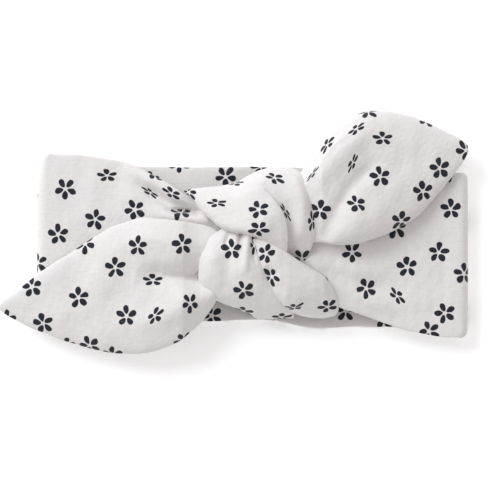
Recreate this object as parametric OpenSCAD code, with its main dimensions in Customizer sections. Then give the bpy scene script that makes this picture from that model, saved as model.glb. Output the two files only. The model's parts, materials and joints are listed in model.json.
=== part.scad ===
// Knotted headband: one wide turned tube of printed cloth, lying flat with its front knot
// and two ears upwards.  +X runs along the band, +Y towards the top edge of the front,
// +Z up out of the surface.  The origin is the middle of the back, on the surface.

/* [Band] */
// Length of the closed loop, laid flat, from one side fold to the other
band_l = 200; // [180:1:220]
// Width of the band at the middle of the back
back_w = 73.4; // [70:0.2:76]
// Width of the band at a side fold, where it is widest
fold_w = 76.5; // [74:0.5:80]
// How far the widest place of each side sits off the middle line
fold_shift = 4; // [2:0.5:5]
// Distance from the middle to the lines where the loop bends as it opens
bend_x = 34; // [33:0.5:36]

/* [Cloth] */
// Thickness of one layer of the crinkled cotton
cloth_t = 0.7; // [0.6:0.05:0.8]
// Thickness of the band's turned tube, with both layers and the seam allowance
tube_t = 2; // [1.9:0.1:2.1]
// Height of the gap between back and front inside the flat loop
loop_gap = 6; // [5.6:0.1:6]
// Width of the seam allowance folded in along each edge
allowance_w = 6.5; // [4:0.5:7]
// Thickness of the sewing thread and of the pressed allowance
thread_t = 0.3; // [0.2:0.05:0.3]

/* [Knot and ears] */
// Share of the full puff of the knot's wraps
knot_puff = 1; // [0.8:0.05:1]
// Share of the full puff of the two ears
ear_puff = 1; // [0.8:0.05:1]

/* [Hidden] */
$fn = 64;
front_z = tube_t + loop_gap;          // inner face of the front
flat_h = front_z + tube_t;            // top of the front at a side fold
fold_x = band_l / 2 - flat_h / 2;     // axis of a side fold
seam_inset = 0.9;                     // from the inside of a tube's edge to its seam
play = 0.15;                          // half of the gap between parts that move
cloth_colour = "whitesmoke";
lining_colour = "gainsboro";
thread_colour = "white";
ARC_STEP = 22.5;
ARC = [for (a = [180:-ARC_STEP:0]) a];

// ---- Cross-sections ----
// A station is one cross-section of a length of cloth:
// [left edge, right edge, rise of the cloth over the line between them, depth below it]

// The front half panel, from the side fold to the bend line beside the knot
FRONT_PANEL = [
    level(8 + tube_t/2, [-fold_x + play, fold_w/2 + fold_shift], [-fold_x + play, fold_shift - fold_w/2],
        tube_t/2, tube_t/2),
    level(9.1, [-78, fold_w/2 + fold_shift - 0.6], [-78, -34], 1.1, 1.04),
    level(9.5, [-62, 38.6], [-62, -33.4], 1.5, 1.4),
    level(10.4, [-48, 33], [-48, -30], 2.4, 2.4),
    level(11.6, [-bend_x - play, 26], [-bend_x - play, -21], 3.4, 3.5)
];
// The same tube from the bend line into the knot
NECK = [
    level(11.6, [-bend_x + play, 26], [-bend_x + play, -21], 3.4, 3.5),
    level(11.5, [-24, 20], [-24, -16], 3.3, 3.4),
    level(11.4, [-14, 15], [-14, -12.5], 3.2, 3.3),
    level(11.3, [-0.5, 12.5], [-0.5, -12.5], 3.1, 3.2)
];
// Crossed folds in the middle of the knot
CORE = [
    level(17.2, [-10.5, 8], [-9.5, -14], 1, 1),
    level(17.2, [-5, 19], [-4, -23], 2, 1.9),
    level(17.2, [4, 22], [4, -25], 2.1, 2),
    level(17.2, [12, 16], [12, -22], 1.9, 1.9),
    level(17.2, [15.4, 4], [16, -14], 1, 1)
];
// From the upper left, over the top of the knot and down its right side
OVER_WRAP = [
    [[-30.8, 25.6, 16.6], [-29.4, 23, 16.6], 1.6, 0],
    [[-23.5, 27.2, 18.6], [-22, 14.6, 20.3], 3.6, 0],
    [[-9.5, 29, 18.4], [-12, 7.4, 21.8], 6, 0],
    [[6, 36, 17.6], [-3, 6, 22], 8.4, 0],
    [[20, 34.6, 18.4], [1.6, 5, 22.2], 8.6, 0],
    [[28.2, 22, 20.4], [5, 3, 22.2], 7, 0],
    [[28, 5, 20.4], [8.6, -1.4, 21], 3.4, 0],
    [[22.5, -7.6, 18.6], [12, -5.4, 18.8], 1.7, 0]
];
// From the middle of the knot down its left side and round the lower edge
LOWER_WRAP = [
    [[0.6, 7.6, 20.2], [-12, 10.6, 20.2], 1.3, 0],
    [[0.4, 4.2, 20.3], [-15.2, 6.2, 20.3], 1.5, 0],
    [[0.5, -1.6, 20.6], [-22.2, 0.6, 20.4], 5, 0],
    [[2, -10, 20.8], [-24.8, -9.6, 20.4], 6.6, 0],
    [[6, -19, 20.4], [-22.8, -20, 20.2], 6.4, 0],
    [[12.4, -27.4, 17.6], [-13, -27.5, 18.4], 5, 0],
    [[18, -34, 13.4], [0, -34, 13.4], 2.6, 0]
];
// From the middle over the lower right corner of the knot
TAIL_WRAP = [
    [[8.6, 1, 26.4], [0.9, 1.6, 25.2], 2, 0],
    [[16, -3, 24.8], [1.6, -5, 23.4], 4.4, 0],
    [[26, -9.6, 21.6], [5.8, -14.6, 21.6], 5.8, 0],
    [[34.4, -15.6, 18.8], [11, -24, 19.2], 5.4, 0],
    [[38.6, -23.2, 16.6], [15.6, -29.8, 16.2], 4.2, 0],
    [[40.2, -31, 14.2], [21, -34.2, 13.4], 2.4, 0]
];
// The gathered starts of the ears, held by the knot
LEFT_EAR_ROOT = [
    level(17.5, [-12.6, 6], [-12, -21], 1.5, 1.5),
    level(17.6, [-22, 10], [-18, -29], 2, 2),
    level(17.7, [-31.2, 11.6], [-22.6, -33.6], 2.2, 2.2)
];
RIGHT_EAR_ROOT = [
    level(17.5, [24, -3], [17.6, 27], 1.5, 1.5),
    level(17.6, [30, 0.4], [20, 33], 2, 2),
    level(17.7, [36.4, 1], [24.2, 37], 2.2, 2.2)
];
LEFT_EAR = [
    level(17.7, [-31.8, 11.7], [-23.2, -33.9], 2.3, 2.2),
    level(18.4, [-48.6, 13.1], [-35.4, -44.4], 3.2, 2.4),
    level(16.4, [-65, 8.4], [-53.4, -49.9], 3.2, 2.4),
    level(14.2, [-81.7, -1.4], [-72.4, -48.2], 2.6, 2),
    level(12.6, [-98, -12.3], [-92, -41.8], 2, 1.6),
    level(11.6, [-110, -21.2], [-107.4, -35], 1.4, 1.2),
    level(11.4, [-117, -27.4], [-116, -31], 1.1, 1)
];
RIGHT_EAR = [
    level(17.7, [37, 1.2], [24.8, 37.2], 2.3, 2.2),
    level(19, [47.5, 0.6], [34.4, 51], 3.8, 2.6),
    level(19.8, [61, 5], [50.4, 61.4], 4.6, 2.8),
    level(18.6, [75, 13.2], [68, 61.4], 4, 2.6),
    level(16, [87, 25.4], [85, 55], 3, 2.2),
    level(13.4, [95.4, 36.4], [96, 49.4], 1.8, 1.6),
    level(12, [100.2, 43.6], [100.4, 46], 1.1, 1)
];

// A station with both edges at one height
function level(z, left, right, rise, depth) =
    [[left.x, left.y, z], [right.x, right.y, z], rise, depth];

function spline_at(a, b, c, d, t) =
    (2*b + (c - a)*t + (2*a - 5*b + 4*c - d)*t*t + (3*b - a - 3*c + d)*t*t*t) / 2;

// The stations with extra ones on a smooth curve between them
function refined(s, steps) = [
    for (i = [0:len(s) - 2], k = [0:steps - 1])
        spline_at(s[max(i - 1, 0)], s[i], s[i + 1], s[min(i + 2, len(s) - 1)], k / steps),
    s[len(s) - 1]
];

// The same stations with every rise and depth changed by a share
function puffed(stations, share) =
    [for (s = stations) [s[0], s[1], s[2] * share, s[3] * share]];

// A point of a section: the angle is 180 at its left edge and 0 at its right one, and square
// is 2 for an ellipse and more for a flatter section
function section_point(s, inset, rise, angle, square) =
    let (
        middle = (s[0] + s[1]) / 2,
        across = (s[1] - s[0]) / 2,
        share = 1 - inset / norm(across),
        along = sign(cos(angle)) * pow(abs(cos(angle)), 2 / square),
        up = pow(abs(sin(angle)), 2 / square)
    )
    middle + across * share * along + [0, 0, rise * up];

// One layer of cloth over a section (side 1) or under it (side -1), so far in from its surface
function layer_ring(s, side, square, inset) =
    let (rise = side > 0 ? s[2] : s[3])
    concat(
        [for (a = ARC) section_point(s, inset, side * (rise - inset), a, square)],
        [for (i = [len(ARC) - 1:-1:0])
            section_point(s, inset + cloth_t, side * (rise - inset - cloth_t), ARC[i], square)]
    );

// The whole of a section
function full_ring(s) = concat(
    [for (a = ARC) section_point(s, 0, s[2], a, 2)],
    [for (i = [len(ARC) - 2:-1:1]) section_point(s, 0, -s[3], ARC[i], 2)]
);

// Which way round the first two rings stand to each other
function volume_sign(rings) =
    let (
        n = len(rings[0]),
        middles = [for (r = [0, 1]) [for (p = rings[r]) 1] * rings[r] / n],
        area = [for (k = [0:n - 1]) 1] * [for (k = [0:n - 1])
            cross(rings[0][k] - middles[0], rings[0][(k + 1) % n] - middles[0])]
    )
    area * (middles[1] - middles[0]);

// A closed solid through rings of n points each.  A cap joins each point of a ring to the one
// opposite it, so a C-shaped section closes without crossing itself.
module loft(rings) {
    n = len(rings[0]);
    flip = volume_sign(rings) < 0;
    last = (len(rings) - 1) * n;
    half = floor((n + 1) / 2);
    sides = [for (r = [0:len(rings) - 2], k = [0:n - 1])
        [r*n + k, r*n + (k + 1) % n, (r + 1)*n + (k + 1) % n, (r + 1)*n + k]];
    caps = [for (k = [0:half - 2])
        each [[k + 1, k, n - 1 - k, n - 2 - k],
              last * [1, 1, 1, 1] + [k, k + 1, n - 2 - k, n - 1 - k]]];
    faces = [for (q = concat(sides, caps)) each [[q[0], q[1], q[2]], [q[0], q[2], q[3]]]];
    polyhedron(
        points = [for (r = rings) each r],
        faces = flip ? faces : [for (f = faces) [f[2], f[1], f[0]]]
    );
}

// The outer layer (side 1) or the lining (side -1) of a flattened tube
module tube_layer(stations, side, square = 2) {
    color(side > 0 ? cloth_colour : lining_colour)
    loft([for (s = refined(stations, 2)) layer_ring(s, side, square, 0)]);
}

// A layer of a wrap of the knot, where the lining follows under the outer layer
module wrap_outer(stations) {
    color(cloth_colour)
    loft([for (s = refined(stations, 2)) layer_ring(s, 1, 2, 0)]);
}

module wrap_lining(stations) {
    color(lining_colour)
    loft([for (s = refined(stations, 2)) layer_ring(s, 1, 2, cloth_t + 0.15)]);
}

// The seam allowance and the thread lie flat inside a tube, beside each of its two edges
function strip_ring(s, side, inset, width) =
    let (
        edge = s[side],
        inward = (s[1 - side] - edge) / norm(s[1 - side] - edge),
        near = edge + inward * inset,
        far = near + inward * width,
        up = [0, 0, thread_t / 2]
    )
    [near + up, far + up, far - up, near - up];

module strips(stations, inset, width, colour) {
    color(colour)
    for (side = [0, 1])
        loft([for (s = refined(stations, 2)) strip_ring(s, side, inset, width)]);
}

module ribbon_thread(stations) strips(stations, cloth_t + seam_inset, thread_t, thread_colour);
module ribbon_allowance(stations)
    strips(stations, cloth_t + seam_inset + thread_t + 0.2, allowance_w, lining_colour);

// ---- Back of the band ----

// Outline points [x, top y, bottom y] of the left part of the back, from the fold inwards
BACK_LEFT = [
    [-fold_x, fold_w/2 + fold_shift, fold_shift - fold_w/2],
    [-76, fold_w/2 + 2.4, fold_shift - 38.9],
    [-54, back_w/2 + 0.6, -back_w/2 + 0.4],
    [-bend_x - play, back_w/2, -back_w/2]
];
BACK_CENTRE = [
    [-bend_x + play, back_w/2, -back_w/2],
    [bend_x - play, back_w/2, -back_w/2]
];

// The outline between two distances in from both edges
module back_outline(rows, inset) {
    top = [for (r = rows) [r[0], r[1] - inset]];
    bottom = [for (i = [len(rows) - 1:-1:0]) [rows[i][0], rows[i][2] + inset]];
    polygon(concat(top, bottom));
}

module back_outer(rows) {
    color(cloth_colour) linear_extrude(cloth_t) back_outline(rows, 0);
}

module back_lining(rows) {
    color(lining_colour)
    translate([0, 0, tube_t - cloth_t]) linear_extrude(cloth_t) back_outline(rows, 0);
}

// The strip along the top (side 1) or bottom (side 2) edge of the back
module edge_outline(rows, side, inset, width) {
    inward = side == 1 ? -1 : 1;
    polygon(concat(
        [for (r = rows) [r[0], r[side] + inward * inset]],
        [for (i = [len(rows) - 1:-1:0]) [rows[i][0], rows[i][side] + inward * (inset + width)]]
    ));
}

module back_strip(rows, inset, width, colour) {
    color(colour)
    translate([0, 0, tube_t/2 - thread_t/2])
    linear_extrude(thread_t)
    for (side = [1, 2]) edge_outline(rows, side, inset, width);
}

module back_allowance(rows) back_strip(rows, 1, allowance_w, lining_colour);
module back_thread(rows) back_strip(rows, 0.4, thread_t, thread_colour);

// ---- Side folds ----

// Half a round shell about the left fold's axis, between two distances from the outer face
module fold_layer(depth, colour) {
    outer_r = flat_h/2 - depth;
    color(colour)
    translate([-fold_x, fold_w/2 + fold_shift, flat_h/2])
    rotate([90, 0, 0])
    linear_extrude(fold_w)
    difference() {
        circle(outer_r);
        circle(outer_r - cloth_t);
        translate([-play, -flat_h]) square(2 * flat_h);
    }
}

module fold_outer() fold_layer(0, cloth_colour);
module fold_lining() fold_layer(tube_t - cloth_t, lining_colour);

module other_side() rotate([0, 0, 180]) children();

// The front's stations are written for an inner face 8 mm up
module raised() translate([0, 0, front_z - 8]) children();

// ---- Closing of the turning gap, sewn by hand at the back's lower edge ----
stitch_count = 9;
stitch_pitch = 3.2;
stitch_l = 1.7;

module closing_stitches() {
    color(thread_colour)
    for (i = [0:stitch_count - 1])
        translate([(i - (stitch_count - 1)/2) * stitch_pitch - stitch_l/2, -back_w/2 - thread_t, cloth_t])
            cube([stitch_l, thread_t, tube_t - 2*cloth_t]);
}

module knot_core() {
    color(cloth_colour)
    loft([for (s = refined(CORE, 2)) full_ring(s)]);
}

panel_square = 5;
PUFFED_OVER = puffed(OVER_WRAP, knot_puff);
PUFFED_LOWER = puffed(LOWER_WRAP, knot_puff);
PUFFED_TAIL = puffed(TAIL_WRAP, knot_puff);
PUFFED_LEFT_EAR = puffed(LEFT_EAR, ear_puff);
PUFFED_RIGHT_EAR = puffed(RIGHT_EAR, ear_puff);
LEFT_EAR_SEAM = [for (i = [0:5]) PUFFED_LEFT_EAR[i]];
RIGHT_EAR_SEAM = [for (i = [0:5]) PUFFED_RIGHT_EAR[i]];
// The allowance is cut off short of the point of each ear
LEFT_EAR_ALLOWANCE = [for (i = [0:4]) PUFFED_LEFT_EAR[i]];
RIGHT_EAR_ALLOWANCE = [for (i = [0:4]) PUFFED_RIGHT_EAR[i]];

back_outer(BACK_CENTRE);  // back_centre_outer
back_lining(BACK_CENTRE);  // back_centre_lining
back_allowance(BACK_CENTRE);  // back_centre_allowance
back_thread(BACK_CENTRE);  // back_centre_thread
back_outer(BACK_LEFT);  // back_left_outer
back_lining(BACK_LEFT);  // back_left_lining
back_allowance(BACK_LEFT);  // back_left_allowance
back_thread(BACK_LEFT);  // back_left_thread
other_side() back_outer(BACK_LEFT);  // back_right_outer
other_side() back_lining(BACK_LEFT);  // back_right_lining
other_side() back_allowance(BACK_LEFT);  // back_right_allowance
other_side() back_thread(BACK_LEFT);  // back_right_thread
fold_outer();  // left_fold_outer
fold_lining();  // left_fold_lining
other_side() fold_outer();  // right_fold_outer
other_side() fold_lining();  // right_fold_lining
raised() tube_layer(FRONT_PANEL, 1, panel_square);  // front_left_outer
raised() tube_layer(FRONT_PANEL, -1, panel_square);  // front_left_lining
raised() ribbon_allowance(FRONT_PANEL);  // front_left_allowance
raised() ribbon_thread(FRONT_PANEL);  // front_left_thread
raised() other_side() tube_layer(FRONT_PANEL, 1, panel_square);  // front_right_outer
raised() other_side() tube_layer(FRONT_PANEL, -1, panel_square);  // front_right_lining
raised() other_side() ribbon_allowance(FRONT_PANEL);  // front_right_allowance
raised() other_side() ribbon_thread(FRONT_PANEL);  // front_right_thread
raised() tube_layer(NECK, 1);  // left_neck_outer
raised() tube_layer(NECK, -1);  // left_neck_lining
raised() other_side() tube_layer(NECK, 1);  // right_neck_outer
raised() other_side() tube_layer(NECK, -1);  // right_neck_lining
raised() knot_core();
raised() wrap_outer(PUFFED_OVER);  // over_wrap_outer
raised() wrap_lining(PUFFED_OVER);  // over_wrap_lining
raised() wrap_outer(PUFFED_LOWER);  // lower_wrap_outer
raised() wrap_lining(PUFFED_LOWER);  // lower_wrap_lining
raised() wrap_outer(PUFFED_TAIL);  // tail_wrap_outer
raised() wrap_lining(PUFFED_TAIL);  // tail_wrap_lining
raised() tube_layer(LEFT_EAR_ROOT, 1);  // left_ear_root_outer
raised() tube_layer(LEFT_EAR_ROOT, -1);  // left_ear_root_lining
raised() tube_layer(RIGHT_EAR_ROOT, 1);  // right_ear_root_outer
raised() tube_layer(RIGHT_EAR_ROOT, -1);  // right_ear_root_lining
raised() tube_layer(PUFFED_LEFT_EAR, 1);  // left_ear_outer
raised() tube_layer(PUFFED_LEFT_EAR, -1);  // left_ear_lining
raised() ribbon_allowance(LEFT_EAR_ALLOWANCE);  // left_ear_allowance
raised() ribbon_thread(LEFT_EAR_SEAM);  // left_ear_thread
raised() tube_layer(PUFFED_RIGHT_EAR, 1);  // right_ear_outer
raised() tube_layer(PUFFED_RIGHT_EAR, -1);  // right_ear_lining
raised() ribbon_allowance(RIGHT_EAR_ALLOWANCE);  // right_ear_allowance
raised() ribbon_thread(RIGHT_EAR_SEAM);  // right_ear_thread
closing_stitches();
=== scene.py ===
"""Knotted headband: white crinkled cotton with a small dark flower print, lying flat on a white table.

Lengths in the tables below are in mm, in the row frame: +X along the band, +Y towards the top edge of
its front, +Z up.  Meshes are made in metres.
"""

import json
import math

import bpy
import numpy as np
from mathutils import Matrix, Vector


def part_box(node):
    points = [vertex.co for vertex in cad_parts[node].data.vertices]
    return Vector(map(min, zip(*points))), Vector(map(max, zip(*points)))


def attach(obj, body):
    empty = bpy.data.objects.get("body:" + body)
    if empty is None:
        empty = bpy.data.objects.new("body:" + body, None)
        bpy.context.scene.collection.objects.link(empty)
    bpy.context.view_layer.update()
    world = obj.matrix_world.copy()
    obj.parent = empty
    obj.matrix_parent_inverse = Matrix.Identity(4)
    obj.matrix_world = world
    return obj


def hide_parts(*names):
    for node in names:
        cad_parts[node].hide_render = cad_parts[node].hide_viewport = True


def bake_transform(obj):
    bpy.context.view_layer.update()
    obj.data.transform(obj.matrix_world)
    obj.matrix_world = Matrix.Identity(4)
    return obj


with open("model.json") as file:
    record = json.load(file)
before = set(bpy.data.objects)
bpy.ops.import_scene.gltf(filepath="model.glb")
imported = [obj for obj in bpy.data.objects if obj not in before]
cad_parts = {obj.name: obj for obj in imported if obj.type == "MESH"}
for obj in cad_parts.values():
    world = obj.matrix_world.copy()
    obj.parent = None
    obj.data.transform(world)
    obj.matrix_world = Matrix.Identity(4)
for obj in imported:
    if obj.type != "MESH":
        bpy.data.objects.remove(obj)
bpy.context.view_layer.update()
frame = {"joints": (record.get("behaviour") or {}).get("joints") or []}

MM = 0.001
LEFT, RIGHT = -1, 1

# ---- Places taken from the CAD frame ----
joints = {j["name"]: j for j in frame["joints"]}
BEND_X = abs(joints["left_knot_bend"]["pos_m"][0]) / MM     # where the loop bends
FOLD_X = abs(joints["left_side_fold"]["pos_m"][0]) / MM     # axis of a side fold
FOLD_Z = joints["left_side_fold"]["pos_m"][2] / MM
BACK_TOP = joints["left_back_bend"]["pos_m"][2] / MM        # inner face of the back
HALF_T = BACK_TOP / 2                                       # half of the band's thickness
SPLIT_X = 65.0                                              # rigid place where pieces are divided
EDGE_ROWS = 12                                              # rows round half of a side fold
KNOT_MEET = 0.5                                             # where the two necks meet under the knot
EAR_GAP = 0.3                                               # between an ear and the band it lies on
EAR_HELD = 24                                               # the knot holds an ear up to here
EAR_FREE = 32                                               # and beyond here it lies free
FLOWER_SPACING = 7.5                                        # least distance between two flowers
FLOWER_REACH = 9                                            # faces this near may hold part of a flower
NO_FLOWER = 60.0                                            # map value of cloth without a flower


# ---- Smooth curves and gentle unevenness ----

def smooth_rows(rows, count):
    """Count rows, evenly spaced along a smooth curve through the given rows."""
    rows = np.array(rows, float)
    last = len(rows) - 1
    t = np.linspace(0, last, 24 * last + 1)
    i = np.minimum(t.astype(int), last - 1)
    f = (t - i)[:, None]
    a, b = rows[np.maximum(i - 1, 0)], rows[i]
    c, d = rows[i + 1], rows[np.minimum(i + 2, last)]
    dense = (2*b + (c - a)*f + (2*a - 5*b + 4*c - d)*f**2 + (3*b - a - 3*c + d)*f**3) / 2
    middle = (dense[:, 0:2] + dense[:, 3:5]) / 2 if rows.shape[1] >= 6 else dense[:, 0:2]
    run = np.concatenate([[0], np.cumsum(np.linalg.norm(np.diff(middle, axis=0), axis=1))])
    wanted = np.linspace(0, run[-1], count)
    return np.stack([np.interp(wanted, run, column) for column in dense.T], axis=1)


def at(x, table):
    """A smooth value at x from a short table of (x, value)."""
    xs, values = np.array(table, float).T
    x = np.clip(x, xs[0], xs[-1])
    i = np.clip(np.searchsorted(xs, x, side="right") - 1, 0, len(xs) - 2)
    f = (x - xs[i]) / (xs[i + 1] - xs[i])
    slope = np.gradient(values, xs)
    h = xs[i + 1] - xs[i]
    return ((1 + 2*f) * (1 - f)**2 * values[i] + f * (1 - f)**2 * h * slope[i]
            + f**2 * (3 - 2*f) * values[i + 1] + f**2 * (f - 1) * h * slope[i + 1])


def ripple(x, y, scale, seed):
    """Soft unevenness between -1 and 1, with waves about scale mm long."""
    rng = np.random.default_rng(seed)
    total = 0
    for _ in range(7):
        turn, phase = rng.uniform(0, math.tau, 2)
        k = math.tau / (scale * rng.uniform(0.7, 1.6))
        total = total + np.sin(k * (x * math.cos(turn) + y * math.sin(turn)) + phase)
    return total / 4


def nearest_on(path, x, y):
    """For each place: how far along the path its nearest point is (0 to 1), the signed distance,
    positive on the right side as one goes along the path, and the direction of that side."""
    path = smooth_rows(path, 40)[:, :2]
    best = np.full(np.shape(x), 1e9)
    along, signed, side_x, side_y = (np.zeros(np.shape(x)) for _ in range(4))
    for i, (a, b) in enumerate(zip(path[:-1], path[1:])):
        d = b - a
        length = math.hypot(*d)
        t = np.clip(((x - a[0]) * d[0] + (y - a[1]) * d[1]) / length**2, 0, 1)
        dx, dy = x - a[0] - t * d[0], y - a[1] - t * d[1]
        distance = np.hypot(dx, dy)
        nearer = distance < best
        best = np.where(nearer, distance, best)
        along = np.where(nearer, (i + t) / (len(path) - 1), along)
        signed = np.where(nearer, np.where(dx * d[1] - dy * d[0] < 0, -distance, distance), signed)
        side_x = np.where(nearer, d[1] / length, side_x)
        side_y = np.where(nearer, -d[0] / length, side_y)
    return along, signed, side_x, side_y


# ---- Folds: each returns what it adds to x, y and z at places x, y ----

def ridge(path, width, height, start=0.0, end=0.0):
    """A soft ridge (or a valley, with a height below 0) along a path.  start and end are the share of
    the height it has at the two ends of the path."""
    def offsets(x, y):
        along, distance, _, _ = nearest_on(path, x, y)
        share = np.interp(along, [0, 0.35, 0.7, 1], [start, 1, 1, end])
        return 0 * x, 0 * y, height * share * np.exp(-(distance / width) ** 2)
    return offsets


def tuck(path, drop, under, reach=9.0, start=1.0, end=1.0):
    """A fold that overhangs the cloth on the path's right side: the cloth drops, goes back under the
    fold and comes out again, and it has come up again by the reach."""
    def offsets(x, y):
        along, distance, side_x, side_y = nearest_on(path, x, y)
        share = np.interp(along, [0, 0.5, 1], [start, max(start, end) * 0.9, end])
        past = np.maximum(distance, 0)
        down = (1 - np.exp(-past / 0.7)) * np.exp(-(past / reach) ** 2)
        roll = 0.12 * np.exp(-(np.minimum(distance, 0) / 1.6) ** 2) * np.exp(-past / 0.5)
        back = under * share * (past / 1.3) * np.exp(1 - past / 1.3)
        return -back * side_x, -back * side_y, -drop * share * (down + roll)
    return offsets


def apply_folds(points, folds, share, limit=1.0):
    """Moves points by the folds, as much as share says at each of them."""
    x, y = points[..., 0].copy(), points[..., 1].copy()
    for fold in folds:
        for axis, offset in enumerate(fold(x, y)):
            points[..., axis] += limit * share * offset


# ---- Cloth surfaces ----

class Cloth:
    """A closed tube of cloth as a grid of rings.  A ring goes over the outside from the left edge to
    the right edge and back along the inside."""

    def __init__(self, rings, across):
        self.rings = np.array(rings, float)
        self.across = across
        along = np.gradient(self.rings, axis=0)
        around = np.roll(self.rings, -1, axis=1) - np.roll(self.rings, 1, axis=1)
        normals = np.cross(around, along)
        length = np.linalg.norm(normals, axis=2, keepdims=True)
        self.normals = normals / np.maximum(length, 1e-9)
        middle = self.rings.mean(axis=1, keepdims=True)
        if np.sum(self.normals * (self.rings - middle)) < 0:
            self.normals = -self.normals
            self.flip = True
        else:
            self.flip = False
        self.places = self.cloth_places()
        self.print_uv = None

    def cloth_places(self):
        """Place of each vertex on the flat cloth, in mm: across and along."""
        step_around = np.linalg.norm(np.diff(self.rings, axis=1), axis=2)
        around = np.concatenate([np.zeros((len(self.rings), 1)), np.cumsum(step_around, axis=1)], axis=1)
        around -= around[:, [self.across // 2]]
        step_along = np.linalg.norm(np.diff(self.rings, axis=0), axis=2)
        along = np.concatenate([np.zeros((1, self.rings.shape[1])), np.cumsum(step_along, axis=0)])
        along = np.repeat(along.mean(axis=1, keepdims=True), self.rings.shape[1], axis=1)
        return np.stack([along, around], axis=2)

    def quads(self, first, last):
        """Corners of the side faces between two rows, as (row, place) pairs."""
        rows, places = np.meshgrid(np.arange(first, last), np.arange(self.rings.shape[1]), indexing="ij")
        rows, places = rows.ravel(), places.ravel()
        following = (places + 1) % self.rings.shape[1]
        corners = [(rows, places), (rows + 1, places), (rows + 1, following), (rows, following)]
        if not self.flip:
            corners.reverse()
        return np.stack([np.stack(c, axis=1) for c in corners], axis=1)

    def print_flowers(self, *groups):
        """Gives each face the place of its corners, in mm, about the middle of the nearest flower.
        A group is (flowers, 1 on faces seen from above or -1 from below, first row, last row), and a
        flower (x, y, turn, size it keeps, direction in which it is squeezed to that)."""
        quads = self.quads(0, len(self.rings) - 1)
        row = quads[:, 0, 0]
        corner = self.rings[quads[..., 0], quads[..., 1]]
        normal = self.normals[quads[..., 0], quads[..., 1]].mean(axis=1)
        centre = corner.mean(axis=1)
        self.print_uv = np.full(corner.shape[:2] + (2,), NO_FLOWER)
        nearest = np.full(len(quads), 1e9)
        taken = []
        for flowers, side, first, last in groups:
            reachable = (normal[:, 2] * side > 0.02) & (row >= first) & (row < last)
            for x, y, turn, *squeeze in flowers:
                plan = np.hypot(centre[:, 0] - x, centre[:, 1] - y) - 0.02 * side * centre[:, 2]
                seat = np.argmin(np.where(reachable, plan, 1e9))
                if plan[seat] > 3.2 or not reachable[seat]:
                    continue
                distance = np.linalg.norm(centre - centre[seat], axis=1)
                up = normal[(distance < 2.0) & reachable].mean(axis=0)
                up /= np.linalg.norm(up)
                if any(np.linalg.norm(centre[seat] - c) < FLOWER_SPACING and up @ u > -0.5 for c, u in taken):
                    continue
                taken.append((centre[seat], up))
                right = np.array([1.0, 0, 0]) - up * up[0]
                right /= np.linalg.norm(right)
                forward = np.cross(up, right)
                wins = (distance < nearest) & (distance < FLOWER_REACH) & (normal @ up > -0.1)
                wins &= (row >= first - EDGE_ROWS) & (row < last + EDGE_ROWS)
                offset = corner[wins] - centre[seat] + [centre[seat][0] - x, centre[seat][1] - y, 0]
                flat = np.stack([offset @ right, offset @ forward], axis=2)
                reach = np.linalg.norm(offset, axis=2)
                flat *= (reach / np.maximum(np.linalg.norm(flat, axis=2), 1e-6))[..., None]
                for angle, kept in ((squeeze[1], squeeze[0]),) if squeeze else ():
                    way = np.array([math.cos(math.radians(angle)), math.sin(math.radians(angle))])
                    flat += (flat @ way)[..., None] * way * (1 / kept - 1)
                c, sn = math.cos(math.radians(turn)), math.sin(math.radians(turn))
                self.print_uv[wins] = flat @ np.array([[c, -sn], [sn, c]])
                nearest[wins] = distance[wins]

    def piece(self, name, first=0, last=None):
        """A mesh object of the rows from first to last, closed at both ends."""
        last = len(self.rings) - 1 if last is None else last
        around = self.rings.shape[1]
        vertices = self.rings[first:last + 1].reshape(-1, 3) * MM
        quads = self.quads(first, last)
        faces = ((quads[..., 0] - first) * around + quads[..., 1]).tolist()
        normals = self.normals[quads[..., 0], quads[..., 1]].reshape(-1, 3)
        places = self.places[quads[..., 0], quads[..., 1]].ravel()
        flowers = self.print_uv[first * around:last * around].ravel()
        caps = []
        for base, first_end in ((0, True), ((last - first) * around, False)):
            for k in range(self.across - 1):
                ring = [base + p for p in dict.fromkeys((k, k + 1, (-k - 1) % around, (-k) % around))]
                caps.append(ring if first_end == self.flip else ring[::-1])
        cap_corners = sum(len(c) for c in caps)
        mesh = bpy.data.meshes.new(name)
        mesh.from_pydata(vertices.tolist(), [], faces + caps)
        for layer, values, far in (("Cloth", places, 0.0), ("Print", flowers, NO_FLOWER)):
            uv = mesh.uv_layers.new(name=layer)
            uv.data.foreach_set("uv", np.concatenate([values, np.full(2 * cap_corners, far)]))
        mesh.polygons.foreach_set("use_smooth", [True] * len(mesh.polygons))
        flat = [tuple(mesh.polygons[len(faces) + i].normal) for i, c in enumerate(caps) for _ in c]
        mesh.normals_split_custom_set(normals.tolist() + flat)
        mesh.materials.append(printed_cloth)
        obj = bpy.data.objects.new(name, mesh)
        bpy.context.collection.objects.link(obj)
        return obj


def top_of(cloth):
    """Height of the top of a cloth at places x, y, from its greatest height over each mm."""
    half = 130
    grid = np.full((2 * half, 2 * half), -50.0)
    i, j = (np.round(cloth.rings[..., axis] + half).astype(int) for axis in (0, 1))
    np.maximum.at(grid, (i, j), cloth.rings[..., 2])

    def height(x, y):
        i, j = np.floor(x + half).astype(int), np.floor(y + half).astype(int)
        u, v = x + half - i, y + half - j
        corners = np.stack([grid[i, j], grid[i + 1, j], grid[i, j + 1], grid[i + 1, j + 1]])
        shares = np.stack([(1 - u) * (1 - v), u * (1 - v), (1 - u) * v, u * v])
        return np.where(corners.min(axis=0) > 0, (corners * shares).sum(axis=0), corners.max(axis=0))
    return height


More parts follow.
